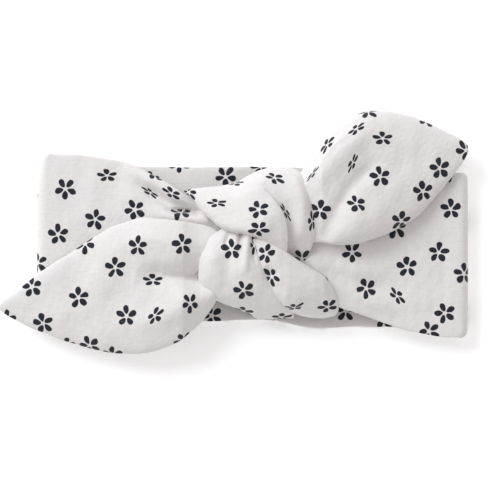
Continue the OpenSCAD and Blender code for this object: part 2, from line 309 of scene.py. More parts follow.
def lay_on(cloth, height):
    """The cloth lifted where it would sink into what it lies on.  Each section goes up as a whole, so
    its folds keep their shape.  Near the middle it is held by the knot."""
    rings = cloth.rings.copy()
    free = np.clip((np.abs(rings[..., 0]) - EAR_HELD) / (EAR_FREE - EAR_HELD), 0, 1)
    lift = np.maximum(0, height(rings[..., 0], rings[..., 1]) + EAR_GAP - rings[..., 2])
    lift = (lift * (free > 0.5)).max(axis=1)
    for _ in range(120):
        rows = np.concatenate([lift[:1], lift, lift[-1:]])
        lift = np.maximum(lift, (rows[:-2] + rows[2:]) / 2)
    rings[..., 2] += lift[:, None] * free
    return Cloth(rings, cloth.across)


def across_places(width, rise, power, count):
    """Places across a section, 0 to 1, evenly spaced along its curve."""
    h = (1 - np.cos(np.linspace(0, math.pi, 2000))) / 2
    up = np.maximum(1 - np.abs(2*h - 1) ** power, 0) ** (1 / power)
    run = np.concatenate([[0], np.cumsum(np.hypot(np.diff(h) * width, np.diff(up) * rise))])
    return np.interp(np.linspace(0, run[-1], count), run, h)


def lobe(stations, rows, across, power=2.6, folds=(), thickness=None, uneven=0.25, seed=1):
    """A puffed length of cloth through stations of (left x, y, z, right x, y, z, rise, depth).
    With a thickness it is an arch, whose inside follows under its outside."""
    s = smooth_rows(stations, rows)
    steps = np.linalg.norm(np.diff((s[:, 0:2] + s[:, 3:5]) / 2, axis=0), axis=1)
    run = np.concatenate([[0], np.cumsum(steps)])
    for column in (0, 1, 3, 4):
        s[:, column] += 0.22 * ripple(run, 7.0 * column, 11, seed + column)
    left, right, rise, depth = s[:, None, 0:3], s[:, None, 3:6], s[:, 6:7], s[:, 7:8]
    half = np.linalg.norm(right - left, axis=2) / 2
    h = np.tile(across_places(2 * half.mean(), rise.mean(), power, across), (rows, 1))
    up = np.maximum(1 - np.abs(2*h - 1) ** power, 0) ** (1 / power)

    def surface(places, lift, follows):
        points = left * (1 - places)[..., None] + right * places[..., None]
        points[..., 2] += lift * up
        x, y = points[..., 0].copy(), points[..., 1].copy()
        share = np.minimum(1, up * 1.15)
        apply_folds(points, folds, share, follows)
        rough = ripple(x, y, 16, seed) + 0.5 * ripple(x, y, 6, seed + 50) + 0.2 * ripple(x, y, 3, seed + 90)
        points[..., 2] += follows * share * uneven * rough
        return points

    over = surface(h, rise, 1.0)
    if thickness is None:
        under = surface(h, -depth, 0.25)
    else:
        shrink = np.clip(1 - thickness / half, 0.1, 1)
        under = surface(0.5 + (h - 0.5) * shrink, np.maximum(rise - thickness, -0.3), 1.0)
    return Cloth(np.concatenate([over, under[:, -2:0:-1]], axis=1), across)


# ---- The band: back, side folds and front panels ----

# Height of each edge of the back and of the front, (x, y) going from left to right
BACK_TOP_EDGE = [(-95, 42.3), (-78, 40.3), (-60, 37.6), (-40, 36.8), (0, 36.8), (24, 36.4), (40, 35), (95, 34)]
BACK_LOW_EDGE = [(-95, -34), (-60, -35.2), (-22, -35), (14, -35.2), (22, -37.2), (50, -37.6), (68, -38),
                 (84, -41.4), (95, -42.4)]
FRONT_TOP_EDGE = [(-95, 42.7), (-80, 42.1), (-68, 40.6), (-59, 38.6), (-54, 36.9), (-44, 31.6), (-34, 25.8),
                  (-28, 21.5), (-18, 17), (-8, 15)]
FRONT_LOW_EDGE = [(-95, -33.8), (-62, -33.4), (-48, -30), (-34, -21), (-24, -16.5), (-8, -13)]
FRONT_RIGHT_LOW = [(8, -13), (18, -17), (30, -22.5), (41, -28.8), (48.6, -31.3), (57, -34.2), (67.7, -38),
                   (76, -40.2), (86, -41.9), (95, -42.5)]
FRONT_RIGHT_TOP = [(8, 15), (20, 18), (34, 21), (48, 30), (62, 33.4), (95, 34)]
# Middle height and half thickness of the front, from the knot outwards
FRONT_MIDDLE = [(8, 11.6), (20, 11.6), (34, 11.4), (48, 10.5), (62, 9.6), (78, 9.1), (95, 9)]
FRONT_HALF = [(8, 3.4), (20, 3.4), (34, 3.2), (48, 2.3), (62, 1.5), (78, 1.1), (95, 1)]

LEFT_PANEL_FOLDS = [
    ridge([(-62, 37), (-50, 32.5), (-40, 26.6), (-30, 20.6), (-24, 17)], 3.6, 2.4),
    ridge([(-55, 30), (-50, 26.8), (-43.5, 22.6), (-36, 18.6), (-27, 16.6)], 2.6, -2.6, end=1),
    ridge([(-41, 17.2), (-36, 16.5), (-30, 16.2), (-24, 15.9)], 1.1, -2.4, end=1),
    ridge([(-50, 16), (-40, 13.6), (-30, 12.8), (-22, 12.6)], 3, 1.6, end=1),
    ridge([(-66, 42), (-64, 34), (-60, 25)], 5, -0.7),
    ridge([(-84, 40), (-82, 28), (-84, 12)], 6, -0.45),
    ridge([(-72, 36), (-74, 24), (-72, 10)], 6, 0.5),
]
RIGHT_PANEL_FOLDS = [
    ridge([(24, -6), (36, -10), (50, -12), (66, -11)], 5, 1.1, start=1),
    ridge([(28, 0), (42, -4), (58, -3), (70, -2)], 4, -0.7, start=1),
    ridge([(34, -17), (44, -21), (56, -26), (66, -30)], 4, 1.2, start=1),
    ridge([(36, -12), (46, -15.5), (58, -19), (70, -24)], 4, -0.9, start=1),
    ridge([(78, 6), (80, -10), (84, -26)], 6, 0.5),
    ridge([(88, 12), (89, -8), (90, -30)], 4, -0.4),
]


def back_path(x_from, x_to):
    """Rows of the band's middle line on the back: (x, z, outward x, outward z, half thickness, share of
    the way from the back to the front)."""
    count = max(2, int(abs(x_to - x_from) / 1.0) + 1)
    return [(x, HALF_T, 0, -1, HALF_T, 0) for x in np.linspace(x_from, x_to, count)]


def fold_path(side):
    """Round a side fold, which is pressed a little square."""
    radius, press = FOLD_Z - HALF_T, 0.78
    rows = []
    for t in np.radians(np.linspace(0, 180, 2 * EDGE_ROWS + 1)[1:-1]):
        sn, c = math.sin(t), math.cos(t)
        out, down = sn ** (2 - press), math.copysign(abs(c) ** (2 - press), c)
        length = math.hypot(out, down)
        rows.append((side * (FOLD_X + radius * sn ** press), FOLD_Z - radius * math.copysign(abs(c) ** press, c),
                     side * out / length, -down / length, HALF_T, t / math.pi))
    return rows


def front_path(x_from, x_to):
    count = int(abs(x_to - x_from) / 0.65) + 1
    return [(x, float(at(abs(x), FRONT_MIDDLE)), 0, 1, float(at(abs(x), FRONT_HALF)), 1)
            for x in np.linspace(x_from, x_to, count)]


def knuckle_path():
    """The rounded end of the right part of the back, inside the middle part while the band lies flat.
    It fills the gap on the outside of the open pivot when the loop opens."""
    half = 0.97 * HALF_T
    return [(BEND_X - half * math.sin(t), BACK_TOP - half * math.cos(t), -math.sin(t), -math.cos(t), half, 0)
            for t in np.radians(np.arange(64, 0, -8))]


def band(path, top_edge, low_edge, folds, seed):
    """A length of the band along a path, between the edge heights of the back and of the front."""
    across = 110
    h = across_places(76, 3, 5, across)
    up = np.maximum(1 - np.abs(2*h - 1) ** 5, 0) ** (1 / 5)
    rings = []
    for x, z, nx, nz, half, front in path:
        place = float(np.clip(x, -FOLD_X, FOLD_X))
        top = (1 - front) * at(place, BACK_TOP_EDGE) + front * at(place, top_edge)
        low = (1 - front) * at(place, BACK_LOW_EDGE) + front * at(place, low_edge)
        top += 0.2 * ripple(x + 40 * front, 3.0, 12, seed)
        low += 0.2 * ripple(x + 40 * front, 9.0, 12, seed + 1)
        y = low * h + top * (1 - h)
        outer = np.stack([x + nx * half * up, y, z + nz * half * up], axis=1)
        inner = np.stack([x - nx * half * up, y, z - nz * half * up], axis=1)
        if front == 1:
            near = min(1, (FOLD_X - abs(x)) / 8)
            waves = (0.28 * ripple(x, y, 20, seed + 2) + 0.12 * ripple(x, y, 7, seed + 3)
                     + 0.05 * ripple(x, y, 3.2, seed + 4))
            outer[:, 2] += near * waves * up
            apply_folds(outer, folds, near * np.minimum(1, 1.1 * up))
            deep = np.maximum(0, inner[:, 2] + 1.2 - outer[:, 2])
            inner[:, 2] -= np.minimum(deep, 0.6 * half) * up
        rings.append(np.concatenate([outer, inner[-2:0:-1]]))
    rings = np.array(rings)
    # the left fold draws in towards its top corner, and the corners of both folds are rounded
    past = np.clip((np.abs(rings[..., 0]) - FOLD_X + 3) / 8, 0, 1) * np.sign(rings[..., 0])
    top, low = rings[..., 1].max(axis=1, keepdims=True), rings[..., 1].min(axis=1, keepdims=True)
    drawn = 2.2 * np.clip((rings[..., 1] - 14) / 28, 0, 1) ** 2 * (past < 0)
    for gap in (top - rings[..., 1], rings[..., 1] - low):
        drawn = drawn + 1.7 * np.clip(1 - gap / 2.4, 0, 1) ** 2
    rings[..., 0] -= past * drawn
    return Cloth(rings, across)


# ---- Knot and ears: stations of (left x, y, z, right x, y, z, rise, depth) ----

LEFT_EAR = [
    (-13, 5, 17.0, -15, -20, 16.5, 1.4, 1.4),
    (-22, 9.6, 17.2, -18.6, -28.5, 16.2, 2.6, 1.8),
    (-34.4, 11.6, 16.6, -26.4, -38, 14.6, 4.2, 1.8),
    (-48.6, 13.1, 14.6, -36.5, -45.4, 12.2, 5.4, 1.6),
    (-59.3, 11, 13.4, -49, -49.6, 10.2, 5.6, 1.4),
    (-70.9, 5.6, 12.6, -62, -49.7, 9.4, 5, 1.3),
    (-81.7, -1.4, 12.2, -76, -47.3, 9.4, 4.2, 1.2),
    (-96.7, -11, 11.9, -92.5, -41.8, 10, 3, 1.1),
    (-107.5, -19.3, 11.6, -105, -36.6, 10.2, 2.2, 1),
    (-114, -24.3, 11.2, -112.6, -32.7, 10.4, 1.5, 0.9),
    (-117.3, -27.4, 10.9, -116.9, -29.9, 10.7, 0.8, 0.7),
]
LEFT_EAR_FOLDS = [
    ridge([(-20, -13.6), (-30, -14.2), (-40, -13.8), (-54, -13)], 5.2, -4.2, start=1),
    ridge([(-20, -13.8), (-27, -14.4), (-34, -14.2), (-42, -13.6)], 1.6, -1.8, start=1),
    ridge([(-20, 1), (-34, 1.6), (-48, 3), (-64, 0)], 6, 1.8, start=1),
    ridge([(-19, -24), (-30, -27), (-42, -33), (-56, -39)], 6.5, 2.4, start=1),
    ridge([(-60, 6), (-66, -8), (-68, -24)], 7, 0.7),
    ridge([(-74, 0), (-82, -16), (-84, -30)], 7, -0.6),
    ridge([(-52, -12), (-60, -22), (-66, -34)], 6, -0.7),
]
RIGHT_EAR = [
    (15, 23, 17, 20, -1, 16.5, 1.4, 1.4),
    (20.6, 31.5, 15.5, 29.1, 1.6, 15.8, 3.4, 1.6),
    (25.8, 39.5, 13, 36.5, 0.6, 14.2, 6, 1.8),
    (32.8, 49.1, 11, 45.4, 0.6, 12.6, 8.2, 1.8),
    (40.6, 56.2, 9.6, 55, 2.8, 11.6, 9.4, 1.7),
    (51.6, 62, 8.8, 66, 7.4, 11.2, 9.4, 1.6),
    (64.8, 62, 8.8, 76.6, 14.2, 11, 8, 1.5),
    (77.6, 58.5, 9.4, 85, 22.9, 11, 6, 1.4),
    (88.6, 53.4, 10.4, 91.2, 30.8, 11.4, 4, 1.2),
    (96, 49.6, 11.2, 96.4, 37.4, 11.8, 2.4, 1),
    (99.7, 46.7, 11.6, 99.7, 43.4, 11.9, 1.2, 0.8),
]
RIGHT_EAR_FOLDS = [
    ridge([(23, 20), (29.5, 31.5), (38, 42), (48, 50.5), (59, 56)], 6.6, 3.4, start=0.9),
    ridge([(24.6, 28.5), (31, 38.6), (38.2, 47.6), (47.7, 54.6), (56.3, 58.3)], 1.4, 0.8, start=1),
    ridge([(34, 5), (37, 12.5), (41, 20), (45.4, 26.6), (51, 33), (60, 41)], 3.6, -2.5, start=0.7),
    ridge([(34, 2), (46, 7), (58, 14), (70, 24)], 7, 0.9),
    ridge([(60, 48), (72, 42), (84, 40)], 8, -0.7),
]
KNOT_CORE = [
    (-10.5, 8, 17.2, -9.5, -14, 17.2, 1, 1),
    (-5, 19, 17.2, -4, -23, 17.2, 2, 1.9),
    (4, 22, 17.2, 4, -25, 17.2, 2.1, 2),
    (12, 16, 17.2, 12, -22, 17.2, 1.9, 1.9),
    (15.4, 4, 17.2, 16, -14, 17.2, 1, 1),
]
OVER_WRAP = [
    (-31.9, 25.2, 15, -31, 24.2, 15, 0.7, 0),
    (-27, 26.6, 14.6, -28.1, 22.2, 15.4, 2.6, 0),
    (-20, 27.4, 13.8, -22.4, 14.8, 16.6, 5.6, 0),
    (-9.7, 28.6, 12.4, -15.4, 9, 18.6, 8.4, 0),
    (-3.2, 32, 11.2, -9.4, 6.2, 20, 10.4, 0),
    (3, 35, 10, -4.6, 5.4, 20.8, 11.6, 0),
    (10.5, 36.7, 9.6, -1.2, 4.6, 21.2, 12, 0),
    (17.4, 36.3, 10.2, 1.4, 3.8, 21.4, 12, 0),
    (23.4, 33, 12.6, 3.6, 2.8, 21.2, 11, 0),
    (27, 26, 14.8, 5.6, 1.6, 20.8, 9.6, 0),
    (28.7, 16.6, 16, 7.6, 0.2, 20.2, 8.4, 0),
    (29.3, 8.4, 16.4, 9.8, -1.8, 19.4, 6.8, 0),
    (27.8, 0.2, 16.4, 11.4, -4.4, 18.4, 4.8, 0),
    (24.2, -6.8, 16, 13.2, -7.4, 17, 2.6, 0),
]
OVER_WRAP_FOLDS = [
    tuck([(15.6, -6), (16.2, 0), (16.3, 6), (15.2, 12.6), (12.4, 18.4), (8.6, 23), (3.4, 27.6)], 5.6, 2.6, 8.5,
         start=1, end=0),
    ridge([(-26, 22), (-12, 21), (2, 25), (9, 27)], 5, 0.8),
    ridge([(-18, 14), (-8, 12), (0, 13), (8, 12)], 5, -0.7),
    ridge([(21, 30), (23, 18), (21.6, 6), (18, -3)], 3.6, 1.8, start=0.5, end=0.5),
]
LOWER_WRAP = [
    (-12.5, 9.6, 18.4, 1.4, 7.4, 19.2, 1.2, 0),
    (-16, 6.9, 18, 2.4, 4.6, 19.8, 3.6, 0),
    (-21, 3.1, 17.6, 3.4, 0.4, 19.8, 5.8, 0),
    (-24, -3.5, 17.2, 4.6, -5, 19.4, 7.2, 0),
    (-25, -10.5, 16.6, 6.4, -11.4, 18.6, 8, 0),
    (-24.6, -16.8, 15.4, 9.2, -17.2, 17.2, 8, 0),
    (-21.6, -22, 13.4, 12.8, -22.8, 15.2, 7.6, 0),
    (-15.5, -25.8, 11.4, 16.6, -27, 12.8, 6.8, 0),
    (-6, -29.6, 9, 18.6, -30.2, 10.6, 4.8, 0),
    (2.6, -34, 7, 19, -33.4, 8, 2.2, 0),
]
LOWER_WRAP_FOLDS = [
    ridge([(-5.4, 6), (-5.7, 3), (-5.8, 0), (-6.4, -5)], 1.0, -2.4, start=1),
    ridge([(-10, 7), (-11.4, 3.6), (-13, -1)], 1.4, -1.2, start=1),
    ridge([(-2, 5.6), (-2.4, 1), (-3, -6), (-3.6, -14)], 1.8, 1.4, start=1),
    ridge([(-8, 4), (-10, -4), (-12, -14), (-9, -22)], 3.6, -1.2, start=0.6),
    ridge([(-17, 0), (-19.6, -8), (-18.6, -16)], 3.6, 0.8),
    ridge([(0.4, 4), (0.2, -2), (1.6, -9)], 0.9, -1.2, start=1),
    ridge([(-6, -20), (2, -25), (9, -29)], 3, -0.8),
]
TAIL_WRAP = [
    (3.4, 3.8, 23.8, -0.3, 2.9, 22.4, 0.7, 0),
    (8.7, 1, 23.6, 0.5, -2.8, 20.8, 3, 0),
    (15.8, -2.8, 21.8, 2.7, -9, 19.2, 5.4, 0),
    (23.5, -8, 18.8, 5.6, -15.4, 17.8, 7, 0),
    (30, -11.7, 16.4, 9.2, -22.2, 15.8, 8, 0),
    (34.8, -15, 14.8, 12.8, -26.8, 13.4, 8.2, 0),
    (37.7, -20.6, 13.4, 16.6, -29.8, 11.2, 7.4, 0),
    (39.5, -25.6, 12, 21.2, -32, 9.4, 6, 0),
    (39.8, -29.6, 10.4, 27.5, -33.3, 8.4, 3.8, 0),
    (38.4, -32.2, 9, 33.2, -33.6, 8, 1, 0),
]
TAIL_WRAP_FOLDS = [
    ridge([(6, -9), (8.4, -12.6), (12, -14.6)], 2, -1.5),
    ridge([(6, -3), (14, -8), (22, -14), (28, -20)], 4, -0.8),
    ridge([(10, -20), (17, -25), (25, -29)], 3.4, 0.9),
    ridge([(33.5, -16), (36, -21.5), (37.6, -28)], 1.0, -0.9),
]

# ---- Print: (x, y, turn) of the flowers seen from above ----

PANEL_LEFT_PRINT = [
    (-67.4, 32.6, 5, 0.62, 90), (-86.5, 26.4, 32), (-89.9, 5.4, 4), (-72.9, 12.3, -8), (-54.4, 16.6, 25),
    (-66.3, 44, 0), (-47.4, 24.7, -20, 0.3, 56), (-44.6, 33.8, 15), (-37.4, 24.4, 0, 0.5, 60),
    (-33.2, 15.5, 10), (-99.4, -8, 10), (-29.5, 24.4, 0, 0.6, 100), (-60, -20, 0), (-80, -14, 20),
]
BACK_PRINT = [
    (-12.5, 32.4, 36), (3.6, 36.6, 20, 0.6, 90), (-34, 38.6, 36), (-18.9, -32.2, 20),
    (43.2, -30.2, 0), (61.2, -34, 0), (-48, 30, 0), (30, 30, 12),
]
LEFT_EAR_PRINT = [
    (-101.9, -18.9, 8), (-96.8, -35.7, 12), (-80.2, -23.8, 5), (-75.2, -46, 25), (-63.2, -9.9, 3),
    (-52.8, 0, 0, 0.9, 0), (-32.2, 0.8, 8), (-46, -15.8, 5, 0.6, 90), (-58.3, -32.1, 0),
    (-44.6, -32.1, 10, 0.62, -40),
    (-28.6, -26.4, 36, 0.85, 0), (-77.2, 0.9, 25), (-114, -34, 0), (-64.6, -50.4, 10), (-31.5, -44, 20),
    (-86.4, -46.6, 0),
]
RIGHT_EAR_PRINT = [
    (34.4, 46.4, 20, 0.6, -42), (47.9, 54, 40, 0.45, -48), (53.2, 62, 10), (60, 49.6, 5, 0.66, 90),
    (46, 38, 10, 0.34, -26), (58.6, 31.9, 8), (47.7, 19.4, 15, 0.76, 62), (31.2, 16.4, -5), (80.6, 58.8, 5),
    (98.6, 44.6, 30), (86.4, 35.9, 8), (78.6, 25.2, 8), (68.4, 11.4, -15), (27.6, 33.2, 0, 0.24, -50),
]
PANEL_RIGHT_PRINT = [
    (46, -2.9, 36), (52.7, -19.8, 27), (67, -23.2, 25, 0.52, 40), (71.4, -9.6, 5), (86.2, -3, -5),
    (97.9, -12.8, 0), (89.1, -31.2, 20), (82, -39.6, 20), (91.8, 17.2, 2), (88.6, 33.4, 10), (60, 24, 0),
    (66.2, 8, 10),
]
OVER_WRAP_PRINT = [
    (10.4, 31.3, 20, 0.6, 65), (-7.7, 28.9, 30, 0.45, 50), (-16.5, 19.7, 10, 0.42, 82),
    (2.8, 16.8, 15, 0.85, 90),
    (2.8, 7.6, 40, 0.78, 90), (15.2, 15.6, 0, 0.24, 30), (27.3, 11.4, 12, 0.5, 0), (22.7, -5.8, 30),
    (-29.4, 24.6, 0, 0.6, 60),
]
LOWER_WRAP_PRINT = [
    (-9.6, -1.5, 4), (-4, -20.5, 20), (-4, -30.2, 10), (0.8, 0.4, 20, 0.5, 0), (13.6, -33, 0, 0.7, 90),
]
TAIL_WRAP_PRINT = [
    (6.2, -3.5, -15, 0.78, -30), (8.6, -14.1, 40, 0.78, 45), (19.2, -28.2, 20, 0.5, 115),
    (34.8, -28, 20, 0.72, 90),
    (32.3, -12.9, 10, 0.4, 60),
]


def toss(x0, x1, y0, y1, seed):
    """Scattered flowers over a rectangle, about as close together as on the front."""
    rng = np.random.default_rng(seed)
    rows = max(1, round((y1 - y0) / 16.5))
    flowers = []
    for i in range(rows):
        for x in np.arange(x0 + (9.5 if i % 2 else 0), x1, 19):
            dx, dy = rng.uniform(-3.4, 3.4, 2)
            flowers.append((x + dx, y0 + (y1 - y0) * (i + 0.5) / rows + dy, rng.uniform(-30, 30)))
    return flowers


# ---- Materials ----

class Nodes:
    """Short ways to add shader nodes."""

    def __init__(self, material):
        self.tree = material.node_tree
        self.nodes = self.tree.nodes

    def add(self, kind, **inputs):
        node = self.nodes.new(kind)
        for name, value in inputs.items():
            setattr(node, name, value)
        return node

    def put(self, socket, value):
        if isinstance(value, (int, float, tuple)):
            socket.default_value = value
        else:
            self.tree.links.new(value, socket)

    def math(self, operation, *values, clamp=False):
        node = self.add("ShaderNodeMath", operation=operation, use_clamp=clamp)
        for socket, value in zip(node.inputs, values):
            self.put(socket, value)
        return node.outputs[0]

    def noise(self, vector, scale, detail=2.0, roughness=0.5):
        node = self.add("ShaderNodeTexNoise")
        self.put(node.inputs["Vector"], vector)
        self.put(node.inputs["Scale"], scale)
        self.put(node.inputs["Detail"], detail)
        self.put(node.inputs["Roughness"], roughness)
        return node.outputs["Fac"]

    def mix(self, share, a, b):
        node = self.add("ShaderNodeMix", data_type="RGBA")
        self.put(node.inputs[0], share)
        self.put(node.inputs[6], a)
        self.put(node.inputs[7], b)
        return node.outputs[2]

    def ramp(self, value, low, high, a=0.0, b=1.0):
        node = self.add("ShaderNodeMapRange")
        node.clamp = True
        for socket, v in zip(node.inputs, (value, low, high, a, b)):
            self.put(socket, v)
        return node.outputs[0]


def flower_ink(n, cloth):
    """1 where ink is printed.  The Print map holds mm about the middle of the nearest flower."""
    at_flower = n.add("ShaderNodeUVMap", uv_map="Print").outputs[0]
    wobble = n.add("ShaderNodeTexNoise")
    n.put(wobble.inputs["Vector"], cloth)
    n.put(wobble.inputs["Scale"], 0.22)
    n.put(wobble.inputs["Detail"], 1.0)
    shift = n.add("ShaderNodeVectorMath", operation="MULTIPLY_ADD")
    n.put(shift.inputs[0], wobble.outputs["Color"])
    shift.inputs[1].default_value = (1.5, 1.5, 0)
    shift.inputs[2].default_value = (-0.75, -0.75, 0)
    moved = n.add("ShaderNodeVectorMath", operation="ADD")
    n.put(moved.inputs[0], at_flower)
    n.put(moved.inputs[1], shift.outputs[0])
    parts = n.add("ShaderNodeSeparateXYZ")
    n.put(parts.inputs[0], moved.outputs[0])
    x, y = parts.outputs[0], parts.outputs[1]
    radius = n.math("SQRT", n.math("ADD", n.math("MULTIPLY", x, x), n.math("MULTIPLY", y, y)))
    angle = n.math("ARCTAN2", x, y)
    sector = math.tau / 5
    folded = n.math("WRAP", angle, sector / 2, -sector / 2)
    out = n.math("MULTIPLY", radius, n.math("COSINE", folded))
    aside = n.math("MULTIPLY", radius, n.math("SINE", folded))
    along = n.math("DIVIDE", n.math("SUBTRACT", out, 2.95), 2.0)
    widening = n.math("ADD", 1.32, n.math("MULTIPLY", along, 0.3))
    sideways = n.math("DIVIDE", aside, widening)
    inside = n.math("ADD", n.math("MULTIPLY", along, along), n.math("MULTIPLY", sideways, sideways))
    return n.ramp(inside, 1.12, 0.9)


def fabric():
    """Fine crinkled white cotton with the flower print."""
    material = bpy.data.materials.new("printed_cotton")
    material.use_nodes = True
    n = Nodes(material)
    shader = n.nodes["Principled BSDF"]
    cloth = n.add("ShaderNodeUVMap", uv_map="Cloth").outputs[0]
    warm, cool = (0.81, 0.772, 0.764, 1), (0.795, 0.77, 0.768, 1)
    patches = n.noise(cloth, 0.035, 2.0)
    colour = n.mix(n.ramp(patches, 0.35, 0.65), warm, cool)
    # threads: fine lines across the band and fainter ones along it
    stretched = n.add("ShaderNodeVectorMath", operation="MULTIPLY")
    n.put(stretched.inputs[0], cloth)
    stretched.inputs[1].default_value = (0.22, 1.1, 1)
    slubs = n.noise(stretched.outputs[0], 0.9, 3.0, 0.6)
    crossed = n.add("ShaderNodeVectorMath", operation="MULTIPLY")
    n.put(crossed.inputs[0], cloth)
    crossed.inputs[1].default_value = (1.25, 0.25, 1)
    cross_slubs = n.noise(crossed.outputs[0], 0.9, 3.0, 0.6)
    weave = n.math("ADD", n.math("MULTIPLY", slubs, 0.62), n.math("MULTIPLY", cross_slubs, 0.38))
    shade = n.ramp(weave, 0.35, 0.65, 0.925, 1.0)
    shaded = n.add("ShaderNodeMix", data_type="RGBA", blend_type="MULTIPLY")
    n.put(shaded.inputs[0], 1.0)
    n.put(shaded.inputs[6], colour)
    grey = n.add("ShaderNodeCombineColor")
    for socket in grey.inputs:
        n.put(socket, shade)
    n.put(shaded.inputs[7], grey.outputs[0])
    colour = shaded.outputs[2]
    worn = n.math("MULTIPLY", flower_ink(n, cloth), n.ramp(weave, 0.25, 0.45, 0.9, 1.0))
    colour = n.mix(worn, colour, (0.016, 0.019, 0.027, 1))
    n.put(shader.inputs["Base Color"], colour)
    shader.inputs["Roughness"].default_value = 0.92
    shader.inputs["Specular IOR Level"].default_value = 0.2
    shader.inputs["Sheen Weight"].default_value = 0.25
    shader.inputs["Sheen Roughness"].default_value = 0.5
    crinkle = n.noise(cloth, 0.4, 4.0, 0.6)
    relief = n.math("ADD", n.math("MULTIPLY", weave, 0.4), n.math("MULTIPLY", crinkle, 0.6))
    bump = n.add("ShaderNodeBump")
    bump.inputs["Strength"].default_value = 0.6
    bump.inputs["Distance"].default_value = 0.0006
    n.put(bump.inputs["Height"], relief)
    n.put(shader.inputs["Normal"], bump.outputs[0])
    return material


printed_cloth = fabric()


def thread_material():
    material = bpy.data.materials.new("sewing_thread")
    material.use_nodes = True
    n = Nodes(material)
    shader = n.nodes["Principled BSDF"]
    place = n.add("ShaderNodeTexCoord").outputs["Object"]
    tone = n.noise(place, 900.0, 3.0)
    n.put(shader.inputs["Base Color"], n.mix(tone, (0.74, 0.73, 0.71, 1), (0.86, 0.86, 0.85, 1)))
    shader.inputs["Roughness"].default_value = 0.6
    shader.inputs["Sheen Weight"].default_value = 0.3
    return material


# ---- Pieces ----

def point(x, y, z):
    return (x * MM, y * MM, z * MM)


def row_at(path, x):
    """The row of a path that is nearest to x."""
    return min(range(len(path)), key=lambda i: abs(path[i][0] - x))


FOLD_PRINT = [(-99.2, 24, 10), (-99.2, -27, -15), (99.2, 12, 5), (99.2, -31, 20)]
UNDER_PRINT = toss(-86, 88, -42, 42, 5) + FOLD_PRINT
INSIDE_PRINT = toss(-88, 88, -23, 18, 8)            # the inside of the back, where the front hides it
FRONT_INSIDE_PRINT = toss(-88, 88, -40, 40, 9)


def left_band():
    back = back_path(-BEND_X - 10, -FOLD_X)
    front = front_path(-FOLD_X, -KNOT_MEET)
    path = back + fold_path(LEFT) + front
    cloth = band(path, FRONT_TOP_EDGE, FRONT_LOW_EDGE, LEFT_PANEL_FOLDS, 11)
    turned = len(path) - len(front)
    cloth.print_flowers((UNDER_PRINT, -1, 0, turned - EDGE_ROWS),
                        (INSIDE_PRINT, 1, 0, turned - 2 * EDGE_ROWS),
                        (PANEL_LEFT_PRINT, 1, turned - EDGE_ROWS, len(path)),
                        (FRONT_INSIDE_PRINT, -1, turned, len(path)))
    split_back = row_at(back, -SPLIT_X)
    split_front = turned + row_at(front, -SPLIT_X)
    fold = cloth.piece("left_side_fold_cloth", split_back, split_front)
    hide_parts("left_fold_outer", "left_fold_lining", "back_left_outer", "back_left_lining",
                "back_left_allowance", "back_left_thread")
    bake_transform(fold)
    panel = cloth.piece("front_left_cloth", split_front)
    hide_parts("front_left_outer", "front_left_lining", "front_left_allowance", "front_left_thread",
                "left_neck_outer", "left_neck_lining")
    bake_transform(panel)
    return cloth


def right_band():
    back = knuckle_path() + back_path(BEND_X, FOLD_X)
    front = front_path(FOLD_X, KNOT_MEET)
    path = back + fold_path(RIGHT) + front
    cloth = band(path, FRONT_RIGHT_TOP, FRONT_RIGHT_LOW, RIGHT_PANEL_FOLDS, 31)
    turned = len(path) - len(front)
    cloth.print_flowers((UNDER_PRINT, -1, 0, turned - EDGE_ROWS),
                        (BACK_PRINT + INSIDE_PRINT, 1, 0, turned - 2 * EDGE_ROWS),
                        (PANEL_RIGHT_PRINT, 1, turned - EDGE_ROWS, len(path)),
                        (FRONT_INSIDE_PRINT, -1, turned, len(path)))
    split_front = turned + row_at(front, SPLIT_X)
    fold = cloth.piece("right_side_fold_cloth", 0, split_front)
    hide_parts("right_fold_outer", "right_fold_lining", "back_right_outer", "back_right_lining",
                "back_right_allowance", "back_right_thread")
    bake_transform(fold)
    panel = cloth.piece("front_right_cloth", split_front)
    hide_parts("front_right_outer", "front_right_lining", "front_right_allowance", "front_right_thread",
                "right_neck_outer", "right_neck_lining")
    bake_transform(panel)
    return cloth


def middle_back():
    """The back from the left split to the open pivot."""
    path = back_path(-SPLIT_X, BEND_X)
    cloth = band(path, FRONT_TOP_EDGE, FRONT_LOW_EDGE, [], 11)
    cloth.print_flowers((UNDER_PRINT, -1, 0, len(path)), (BACK_PRINT + INSIDE_PRINT, 1, 0, len(path)))
    piece = cloth.piece("back_centre_cloth")
    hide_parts("back_centre_outer", "back_centre_lining", "back_centre_allowance", "back_centre_thread")
    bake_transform(piece)


def knot_core():
    """The crossed folds in the middle of the knot, hidden unless the knot is looked into."""
    folds = [ridge([(-9, -6), (2, -2), (14, 2)], 4, 0.6, 1, 1),
             ridge([(-6, 6), (3, 9), (12, 10)], 3, -0.6, 1, 1)]
    cloth = lobe(KNOT_CORE, 60, 60, 2.4, folds, seed=20)
    cloth.print_flowers((toss(-8, 14, -18, 16, 4), -1, 0, 60))
    piece = cloth.piece("knot_core_cloth")
    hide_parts("knot_core")
    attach(piece, "knot")


def over_wrap():
    cloth = lobe(OVER_WRAP, 250, 120, 3.0, OVER_WRAP_FOLDS, 1.6, seed=21)
    cloth.print_flowers((OVER_WRAP_PRINT, 1, 0, 250))
    piece = cloth.piece("over_wrap_cloth")
    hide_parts("over_wrap_outer", "over_wrap_lining")
    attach(piece, "knot")


def lower_wrap():
    cloth = lobe(LOWER_WRAP, 130, 100, 2.7, LOWER_WRAP_FOLDS, 1.6, seed=22)
    cloth.print_flowers((LOWER_WRAP_PRINT, 1, 0, 130))
    piece = cloth.piece("lower_wrap_cloth")
    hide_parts("lower_wrap_outer", "lower_wrap_lining")
    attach(piece, "knot")


